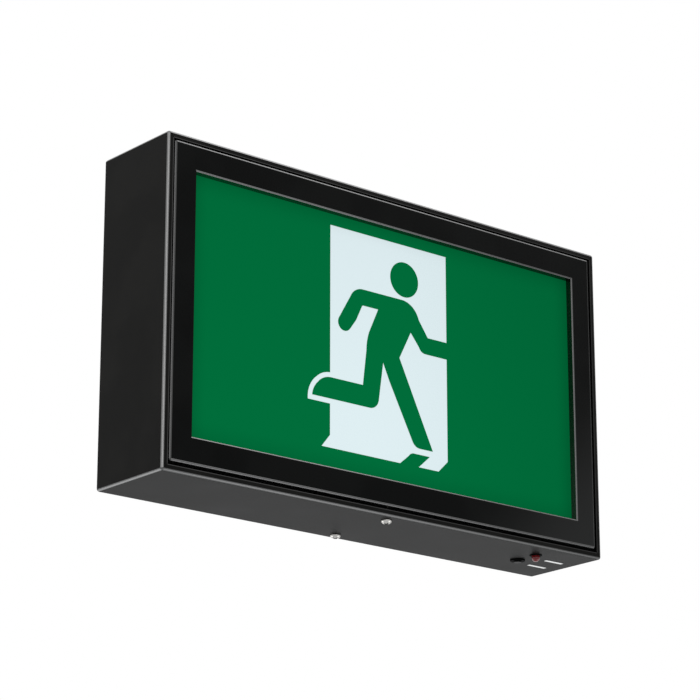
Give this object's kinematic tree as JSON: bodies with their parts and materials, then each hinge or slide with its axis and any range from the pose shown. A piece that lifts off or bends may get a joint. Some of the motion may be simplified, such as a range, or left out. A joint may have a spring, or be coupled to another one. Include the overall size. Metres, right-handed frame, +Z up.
{
  "type": "emergency exit light",
  "caption": "Slim steel box exit light with a framed green running-figure legend, a test button, a red pilot lamp and a wall plate at the back.",
  "frame": {"origin": "on the wall plane, at the centre of the four wall fixing holes in the back plate", "axes": "+X to the right seen from the front, +Y back into the wall, +Z up; the legend faces -Y"},
  "size_m": [0.33, 0.062, 0.2],
  "materials": {
    "housing_paint": "black powder coat, satin",
    "frame_paint": "black powder coat, satin",
    "plate_paint": "black powder coat, satin",
    "tray_paint": "gloss white reflector paint",
    "green_print": "translucent green screen print",
    "opal_panel": "opal acrylic, backlit",
    "screw_plating": "bright nickel plate",
    "zinc_plating": "bright zinc plate",
    "spring_steel": "oiled spring steel",
    "cable_bush_nylon": "black nylon",
    "white_board": "white solder resist",
    "green_board": "green solder resist",
    "light_chip": "yellow phosphor under silicone",
    "core_steel": "laminated, varnished",
    "coil_tape": "yellow polyester tape",
    "capacitor_sleeve": "dark blue shrink sleeve",
    "relay_case": "blue moulded case",
    "chip_resin": "black epoxy",
    "socket_nylon": "natural nylon",
    "terminal_plastic": "green moulded plastic",
    "battery_sleeve": "heat-shrunk sleeve",
    "switch_plastic": "black moulded plastic",
    "button_plastic": "black moulded plastic",
    "ring_nut_black": "black oxide",
    "lamp_red": "red diffused epoxy",
    "mark_white": "white screen print",
    "lead_red": "red insulation",
    "lead_black": "black insulation",
    "lead_white": "white insulation",
    "lead_blue": "blue insulation"
  },
  "bodies": {
    "sign": {"housing": "housing_paint", "front_frame": "frame_paint", "back_plate": "plate_paint", "cable_bush": "cable_bush_nylon", "front_cover_screw": "screw_plating", "rear_cover_screw": "screw_plating", "legend_print": "green_print", "legend_head": "green_print", "diffuser_panel": "opal_panel", "panel_clips": "spring_steel", "clip_nuts": "zinc_plating", "light_tray": "tray_paint", "tray_posts": "zinc_plating", "tray_screws": "zinc_plating", "lower_light_board": "white_board", "middle_light_board": "white_board", "upper_light_board": "white_board", "lower_light_chips": "light_chip", "middle_light_chips": "light_chip", "upper_light_chips": "light_chip", "light_board_screws": "zinc_plating", "driver_board": "green_board", "driver_spacers": "zinc_plating", "driver_screws": "zinc_plating", "transformer_core": "core_steel", "transformer_coil": "coil_tape", "reservoir_capacitor": "capacitor_sleeve", "timing_capacitor": "capacitor_sleeve", "transfer_relay": "relay_case", "control_chip": "chip_resin", "battery_socket": "socket_nylon", "light_socket": "socket_nylon", "switch_socket": "socket_nylon", "lamp_socket": "socket_nylon", "supply_terminal": "terminal_plastic", "terminal_screws": "zinc_plating", "battery_pack": "battery_sleeve", "battery_strap": "zinc_plating", "strap_screws": "zinc_plating", "switch_body": "switch_plastic", "switch_ring_nut": "ring_nut_black", "button_spring": "spring_steel", "lamp_holder": "switch_plastic", "pilot_lamp": "lamp_red", "switch_mark": "mark_white", "lamp_mark": "mark_white", "battery_lead_red": "lead_red", "battery_lead_black": "lead_black", "light_lead_red": "lead_red", "light_lead_black": "lead_black", "switch_lead_white": "lead_white", "switch_lead_blue": "lead_blue", "lamp_lead_red": "lead_red", "lamp_lead_black": "lead_black", "board_jumpers": "lead_white"},
    "button": {"test_button": "button_plastic"}
  },
  "joints": [
    {"name": "test_button_press", "type": "slide", "parent": "sign", "child": "button", "axis": [0, 0, 1], "range_m": [0, 0.0005], "stiffness_N_per_m": 800, "springref_m": -0.0005, "deforming": ["button_spring"]}
  ]
}
